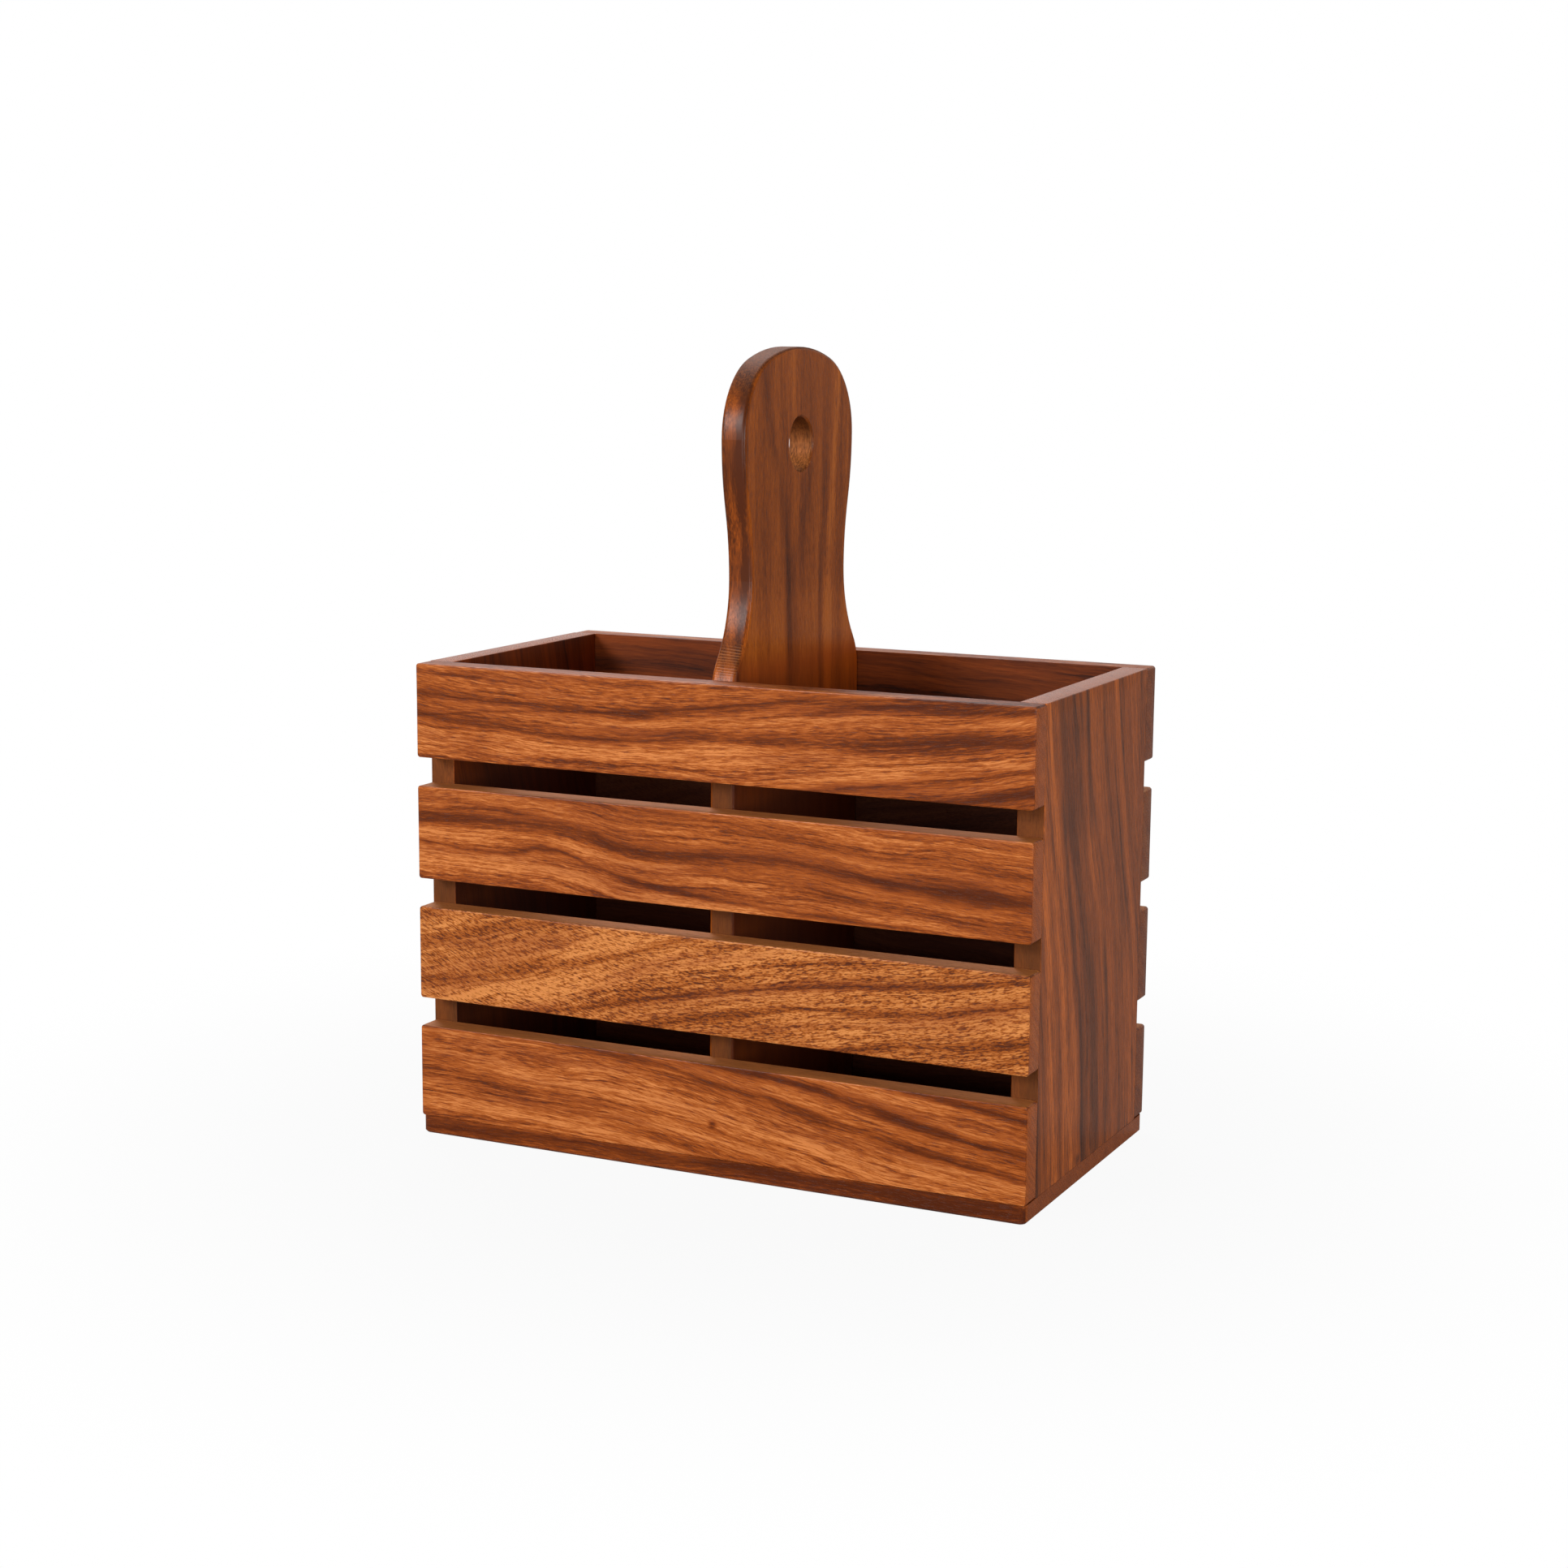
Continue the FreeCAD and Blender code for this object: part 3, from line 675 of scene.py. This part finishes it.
    def show_shoulders(self):
        """Dull speckled end grain round the top of the handle."""
        ends = self.remap(self.facing[self.grain_axis], *SHOULDER_FACING, smooth=True)
        shade = self.mix(self.remap(self.speckle, *SHOULDER_SHOWS), SHOULDER_DARK_AND_HOLE_SHADE, SHOULDER_LIGHT)
        self.cover(ends, shade, *SHOULDER_COVER)

    def show_sawn(self, axis, tint, wear):
        """Bare sawn faces that look along an axis, in the gaps below the rim. Higher up they are worn."""
        turned = self.remap(self.math("ABSOLUTE", self.facing[axis]), *SAWN_FACING, smooth=True)
        below = self.remap(self.places[2], *above_rim(*SAWN_ENDS), 1.0, 0.0)
        higher = self.remap(self.places[2], *above_rim(*SAWN_ENDS))
        shade = self.mix(self.remap(self.speckle, *SAWN_SHOWS), faded(tint, SAWN_DIM), tint)
        self.roughness = self.add(self.roughness, self.times(turned, higher, wear))
        self.cover(self.times(turned, below), shade, *SAWN_COVER)

    def paint_bay_shade(self, axis, side, light, dark, top):
        """Rough faces inside the bays with painted shade, darker further down. Where side is 0, both sides
        have them.
        """
        turned = self.times(self.facing[axis], side) if side else self.math("ABSOLUTE", self.facing[axis])
        below = self.remap(self.places[2], *above_rim(0.0, top), 1.0, 0.0, smooth=True)
        # Painted shade, deeper further down in the bays
        deep = self.remap(self.places[2], *above_rim(*BAY_SHADE_DEEPENS), BAY_SHADE_DEPTH, 0.0)
        shade = self.mix(deep, self.mix(self.remap(self.tone, *BAY_SHADE_SHOWS), light, dark), dark)
        self.cover(self.times(self.remap(turned, *BAY_SHADE_FACING), below), shade, *BAY_SHADE_COVER)

    def show_rasp_marks(self):
        """Level scratches of a rasp, on the front of the flare just above the rim."""
        x, z = self.places[0], self.places[2]
        across, upward = RASP_SHAKES_PER_METRE
        shaky = self.noise(self.vector(self.times(x, across), self.times(z, upward), 0.0), 2.0)
        turn = self.times(z, 2 * math.pi / RASP_PITCH)
        wave = self.math("SINE", self.add(turn, self.times(x, RASP_SLOPE), self.times(shaky, RASP_SHAKE)))
        rasp = self.times(
            self.remap(wave, *RASP_SHOWS),
            self.remap(z, *above_rim(*RASP_FADES_OUT), 1.0, 0.0, smooth=True),
            self.remap(z, *above_rim(0.0, RASP_FADES_IN)),
            self.remap(self.facing[1], *RASP_FACING, 1.0, 0.0),
            self.remap(shaky, *RASP_UNEVEN),
        )
        self.height = self.add(self.height, self.times(rasp, RASP_HEIGHT))
        self.colour = self.mix(self.times(rasp, RASP_PALENESS), self.colour, SAWN_TOP)

    def show_hole(self):
        """The wall of the hanging hole, left as it was drilled, the chips round its edge, and painted shade
        on its upper side.
        """
        y, z = self.places[1:]
        apart = self.length(self.vector(self.add(y, -hole_centre.y), self.add(z, -hole_centre.z), 0.0))
        near = self.remap(apart, *(hole_radius + gap for gap in WALL_NEAR), 1.0, 0.0)
        wall = self.times(near, self.remap(self.math("ABSOLUTE", self.facing[0]), *WALL_FACING, 1.0, 0.0))
        torn = self.add(apart, self.times(self.add(self.speckle, -TEAR_LEVEL), -TEAR))
        chips = self.remap(torn, *(hole_radius + gap for gap in CHIPS_NEAR), CHIPS_SHARE, 0.0)
        shade = self.mix(self.remap(self.speckle, *DRILLED_SHOWS), faded(DRILLED, DRILLED_DIM), DRILLED)
        # Painted shade over the upper side of the hole
        levels = (hole_centre.z + level for level in UPPER_SIDE)
        painted_upper_shade = self.remap(z, *levels, 0.0, UPPER_PAINTED_SHADE, smooth=True)
        shade = self.mix(painted_upper_shade, shade, SHOULDER_DARK_AND_HOLE_SHADE)
        self.cover(self.math("MAXIMUM", wall, chips), shade, *DRILLED_COVER)

    def finish(self):
        """Joins the steps into a lacquered surface."""
        bump = {"Strength": BUMP_STRENGTH, "Distance": BUMP_DISTANCE, "Height": self.height}
        inputs = {
            "Base Color": self.colour,
            "Roughness": self.roughness,
            "Normal": self.node("Bump", bump),
            "Specular IOR Level": LACQUER_SPECULAR,
        }
        self.node("OutputMaterial", {"Surface": self.node("BsdfPrincipled", inputs)})
        return self.owner


def board_wood(name, low, high, upright, figure, seed, palette, lightness, sawn=None, bay_shade=None):
    """The wood of a straight board. sawn gives such faces' axis and colour, and the last argument the axis
    and side of faces inside the bays, which get painted shade.
    """
    figure = {**USUAL_FIGURE, **figure}
    board = Wood(name, low, high, upright, seed)
    board.grow(figure)
    board.stain(figure, palette)
    board.show_end_grain(lightness)
    if sawn:
        board.show_sawn(*sawn, BOARD_WEAR)
    if bay_shade:
        # Painted shade on the faces inside the bays
        board.paint_bay_shade(*bay_shade, BAY_SHADE_PALE, BAY_SHADE_DEEP, BOARD_SHADE_TOP)
    return board.finish()


def handle_wood(low, high):
    """The wood of the divider and its handle."""
    figure = {**USUAL_FIGURE, **FIGURES["divider_handle"]}
    board = Wood("wood_handle", low, high, True, HANDLE_SEED)
    board.grow(figure)
    board.deepen_front()
    board.stain(figure, HANDLE_PALETTE)
    board.show_shoulders()
    board.show_sawn(1, SAWN_EDGE, HANDLE_WEAR)
    # Painted shade on the divider inside the bays, reaching a little above the rim
    board.paint_bay_shade(0, 0, DIVIDER_SHADE_PALE, DIVIDER_SHADE_DEEP, HANDLE_SHADE_TOP)
    board.show_rasp_marks()
    board.show_hole()
    return board.finish()


def steel(name, colour, roughness):
    """Plated wire or screw: a fine brushed grain in its colour and gloss."""
    s = Shader(bpy.data.materials.new(name))
    place = s.node("Mapping", {"Vector": s.node("TexCoord", output="Object"), "Scale": BRUSHED})
    brushed = s.noise(place, 3.0, 0.6)
    gloss = (roughness + change for change in BRUSHED_GLOSS)
    inputs = {
        "Base Color": s.mix(brushed, faded(colour, BRUSHED_DIM), colour),
        "Roughness": s.remap(brushed, *BRUSHED_SHOWS, *gloss),
        "Metallic": 1.0,
    }
    s.node("OutputMaterial", {"Surface": s.node("BsdfPrincipled", inputs)})
    return s.owner


def finish_mesh(name, mesh):
    """Turns built-up faces into a smooth piece of the scene."""
    data = bpy.data.meshes.new(name)
    mesh.to_mesh(data)
    mesh.free()
    data.shade_smooth()
    piece = bpy.data.objects.new(name, data)
    bpy.context.scene.collection.objects.link(piece)
    return piece


def refine(low, high, edge):
    """Places along one side of a board, close together near its ends."""
    near = [edge * share for share in EASED_SHARES]
    run = high - low - 2 * edge
    count = max(1, round(run / BOARD_STEP))
    middle = [low + edge + run * n / count for n in range(1, count)]
    return [low + part for part in near] + middle + [high - part for part in reversed(near)]


def sanded_board(name, low, high, corner, seed, flush):
    """A board whose arrises were eased by hand, so that their radius wanders, with its corners rounded
    where its broad face meets two edges. Sides in flush, as (axis, end), lie against a neighbour and
    leave only a fine seam."""
    sides = [refine(low[n], high[n], max(ARRIS, corner if n != 1 else ARRIS)) for n in range(3)]
    counts = [len(side) for side in sides]
    mesh = bmesh.new()
    corners = {}

    def eased(spot, radius):
        inner = spot.copy()
        reach = Vector((radius, radius, radius))
        for n in range(3):
            first = SEAM if (n, 0) in flush else radius
            last = SEAM if (n, 1) in flush else radius
            inner[n] = min(max(spot[n], low[n] + first), high[n] - last)
            reach[n] = first if spot[n] < inner[n] else last
        away = Vector((spot[n] - inner[n]) / reach[n] for n in range(3))
        if away.length == 0:
            return spot
        away.normalize()
        return Vector(inner[n] + away[n] * reach[n] for n in range(3))

    def vertex(*index):
        if index not in corners:
            spot = Vector(sides[n][index[n]] for n in range(3))
            wander = noise.noise(spot * WANDERS_PER_METRE + Vector((seed, 0, 0)))
            spot = eased(spot, ARRIS * (1.0 + WANDER_SHARE * wander))
            pivot = Vector(min(max(spot[n], low[n] + corner), high[n] - corner) for n in range(3))
            dx, dz = spot.x - pivot.x, spot.z - pivot.z
            if dx and dz:
                share = max(abs(dx), abs(dz)) / math.hypot(dx, dz)
                spot.x = pivot.x + dx * share
                spot.z = pivot.z + dz * share
            corners[index] = mesh.verts.new(spot)
        return corners[index]

    for axis in range(3):
        first, second = (axis + 1) % 3, (axis + 2) % 3
        for end in (0, counts[axis] - 1):
            for i, j in itertools.product(range(counts[first] - 1), range(counts[second] - 1)):
                ring = []
                for di, dj in ((0, 0), (1, 0), (1, 1), (0, 1)):
                    index = [0, 0, 0]
                    index[axis] = end
                    index[first] = i + di
                    index[second] = j + dj
                    ring.append(vertex(*index))
                mesh.faces.new(ring if end else reversed(ring))
    return finish_mesh(name, mesh)


def cross_recess(x, y):
    """How far the drive recess goes into a screw's head at one place on its face."""
    near, far = sorted((abs(x), abs(y)))
    across = min(max((RECESS_HALF_WIDTH - near) / RECESS_WALL, 0.0), 1.0)
    along = min(max((RECESS_REACH - far) / RECESS_END, 0.0), 1.0)
    return RECESS_DEPTH * across * along * (1.0 - RECESS_TAPER_PER_METRE * far)


def add_screw(mesh, place, height, turn):
    """Adds a countersunk screw, point up, with a cross recess in its head."""
    profile = [(SCREW_HEAD * n / SCREW_RINGS, None) for n in range(1, SCREW_RINGS + 1)]
    profile += [(SCREW_SHANK, SCREW_HEAD - SCREW_SHANK), (SCREW_SHANK, height - SCREW_TIP)]
    turned = Matrix.Rotation(turn, 3, "Z")
    rings = []
    for radius, up in profile:
        ring = []
        for n in range(SCREW_STEPS):
            angle = 2 * math.pi * n / SCREW_STEPS
            x = radius * math.cos(angle)
            y = radius * math.sin(angle)
            z = cross_recess(x, y) if up is None else up
            ring.append(mesh.verts.new(place + turned @ Vector((x, y, z))))
        rings.append(ring)
    middle = mesh.verts.new(place + Vector((0, 0, cross_recess(0, 0))))
    tip = mesh.verts.new(place + Vector((0, 0, height)))
    for n in range(SCREW_STEPS):
        m = (n + 1) % SCREW_STEPS
        mesh.faces.new((middle, rings[0][m], rings[0][n]))
        for inner, outer in zip(rings, rings[1:]):
            mesh.faces.new((inner[n], inner[m], outer[m], outer[n]))
        mesh.faces.new((rings[-1][n], rings[-1][m], tip))


def dress(piece, node, material):
    """Puts a finished piece in the place of a CAD node."""
    piece.data.materials.append(material)
    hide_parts(node)
    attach(piece, "root")


def repaint(node, material):
    """Gives a new material to a CAD node whose shape stays."""
    nodes[node].data.materials.clear()
    nodes[node].data.materials.append(material)


def add_slats():
    """Sanded slats. A back slat has the figure of a front slat in another row."""
    for seed, side, inner_end, lightness in SLAT_SIDES:
        for row in range(1, 5):
            node = f"{side}_slat_{row}"
            low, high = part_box(node)
            slat = sanded_board(f"{node}_sanded", low, high, SLAT_CORNER, seed + row, {(1, inner_end)})
            material = board_wood(
                f"wood_{node}",
                low,
                high,
                False,
                FIGURES[node if side == "front" else f"front_slat_{1 + (row + 2) % 4}"],
                seed + SLAT_SEED_STEP * row,
                SLAT_PALETTE,
                lightness,
                sawn=(2, SAWN_TOP),
                bay_shade=(1, 2 * inner_end - 1),
            )
            dress(slat, node, material)


def add_end_panels():
    """Sanded end panels, flush with the slats and the base."""
    for seed, side, inward in PANEL_SIDES:
        node = f"{side}_end_panel"
        low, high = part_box(node)
        panel = sanded_board(f"{node}_sanded", low, high, 0.0, seed, {(1, 0), (1, 1), (2, 0)})
        material = board_wood(
            f"wood_{node}",
            low,
            high,
            True,
            FIGURES["right_end_panel"],
            seed,
            DULL_PALETTE,
            PANEL_ENDS,
            sawn=(1, SAWN_EDGE),
            bay_shade=(0, inward),
        )
        dress(panel, node, material)


def repaint_kept_nodes():
    """Materials of the divider, the base and the brads, which keep their CAD shapes."""
    repaint("divider_handle", handle_wood(*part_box("divider_handle")))
    low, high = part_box("base_board")
    base_wood = board_wood("wood_base", low, high, False, PLAIN_FIGURE, BASE_SEED, SLAT_PALETTE, BASE_ENDS)
    repaint("base_board", base_wood)
    brad_steel = steel("brad_steel", *BRAD_STEEL)
    for node in ("front_slat_brads", "back_slat_brads"):
        repaint(node, brad_steel)


def add_screws():
    """Six screws in the underside of the base, each turned as it was left."""
    low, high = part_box("base_screws")
    mesh = bmesh.new()
    across = (low.x + SCREW_HEAD, (low.x + high.x) / 2, high.x - SCREW_HEAD)
    deep = (low.y + SCREW_HEAD, high.y - SCREW_HEAD)
    for number, (x, y) in enumerate(itertools.product(across, deep)):
        add_screw(mesh, Vector((x, y, low.z)), high.z - low.z, SCREW_TURN * number)
    screws = finish_mesh("base_screws_driven", mesh)
    screws.data.set_sharp_from_angle(angle=SCREW_SHARP)
    dress(screws, "base_screws", steel("screw_steel", *SCREW_STEEL))


def add_camera():
    """The camera at the photograph's angle."""
    forward = Vector(
        (
            math.cos(CAMERA_PITCH) * math.sin(CAMERA_YAW),
            math.cos(CAMERA_PITCH) * math.cos(CAMERA_YAW),
            math.sin(CAMERA_PITCH),
        )
    )
    level = Vector((math.cos(CAMERA_YAW), -math.sin(CAMERA_YAW), 0.0))
    upward = level.cross(forward)
    right = math.cos(CAMERA_ROLL) * level + math.sin(CAMERA_ROLL) * upward
    top = right.cross(forward)
    lens = bpy.data.cameras.new("camera")
    lens.sensor_width = SENSOR_WIDTH
    lens.lens = SENSOR_WIDTH * FOCAL_SHARE
    camera = bpy.data.objects.new("camera", lens)
    turn = Matrix((right, top, -forward)).transposed()
    camera.matrix_world = Matrix.Translation(CAMERA_PLACE) @ turn.to_4x4()
    bpy.context.scene.collection.objects.link(camera)
    bpy.context.scene.camera = camera


def add_lamp(name, place, width, height, power):
    """A soft lamp, turned towards the caddy."""
    lamp = bpy.data.lights.new(name, "AREA")
    lamp.shape = "RECTANGLE"
    lamp.size = width
    lamp.size_y = height
    lamp.energy = power
    item = bpy.data.objects.new(name, lamp)
    item.location = place
    item.rotation_euler = (Vector(LAMP_TARGET) - Vector(place)).to_track_quat("-Z", "Y").to_euler()
    bpy.context.scene.collection.objects.link(item)


def seen_plainly(s, in_gloss):
    """How much of the white studio itself a ray sees: all from the camera or a glass, some from a gloss."""
    path = s.tree.nodes.new("ShaderNodeLightPath")
    seen = s.math("MAXIMUM", path.outputs["Is Camera Ray"], path.outputs["Is Transmission Ray"])
    return s.math("MAXIMUM", seen, s.times(path.outputs["Is Glossy Ray"], in_gloss))


def add_floor():
    """A floor that looks white and keeps a soft shadow near the caddy."""
    corners = [(x * FLOOR_HALF, y * FLOOR_HALF, 0) for x, y in ((-1, -1), (1, -1), (1, 1), (-1, 1))]
    data = bpy.data.meshes.new("floor")
    data.from_pydata(corners, [], [(0, 1, 2, 3)])
    floor = bpy.data.objects.new("floor", data)
    bpy.context.scene.collection.objects.link(floor)
    s = Shader(bpy.data.materials.new("floor"))
    paint = s.node("BsdfDiffuse", {"Color": FLOOR_PAINT})
    white = s.node("Emission", {"Color": WHITE, "Strength": 1.0})
    away = s.length(s.node("TexCoord", output="Object"))
    clear = s.remap(away, *FLOOR_SHADOW_REACH, FLOOR_WHITE_SHARE, 1.0, smooth=True)
    share = s.times(seen_plainly(s, FLOOR_GLOSS), clear)
    s.node("OutputMaterial", {"Surface": s.node("MixShader", {0: share, 1: paint, 2: white})})
    data.materials.append(s.owner)


def add_room():
    """A white room that lights the caddy only a little. A gloss sees most of its white at the back."""
    world = bpy.data.worlds.new("studio")
    bpy.context.scene.world = world
    s = Shader(world)
    x, y = s.split(s.node("TexCoord", output="Generated"))[:2]
    way_x, way_y = BACKDROP_WAY
    towards = s.add(s.times(x, way_x), s.times(y, way_y))
    in_gloss = s.remap(towards, *BACKDROP_EDGE, ROOM_GLOSS, BACKDROP_GLOSS)
    strength = s.remap(seen_plainly(s, in_gloss), 0.0, 1.0, ROOM_LIGHT, 1.0)
    s.node("OutputWorld", {"Surface": s.node("Background", {"Color": WHITE, "Strength": strength})})


add_slats()
add_end_panels()
repaint_kept_nodes()
add_screws()
add_camera()
for lamp in LAMPS:
    add_lamp(*lamp)
add_floor()
add_room()
bpy.context.scene.view_settings.view_transform = "Standard"
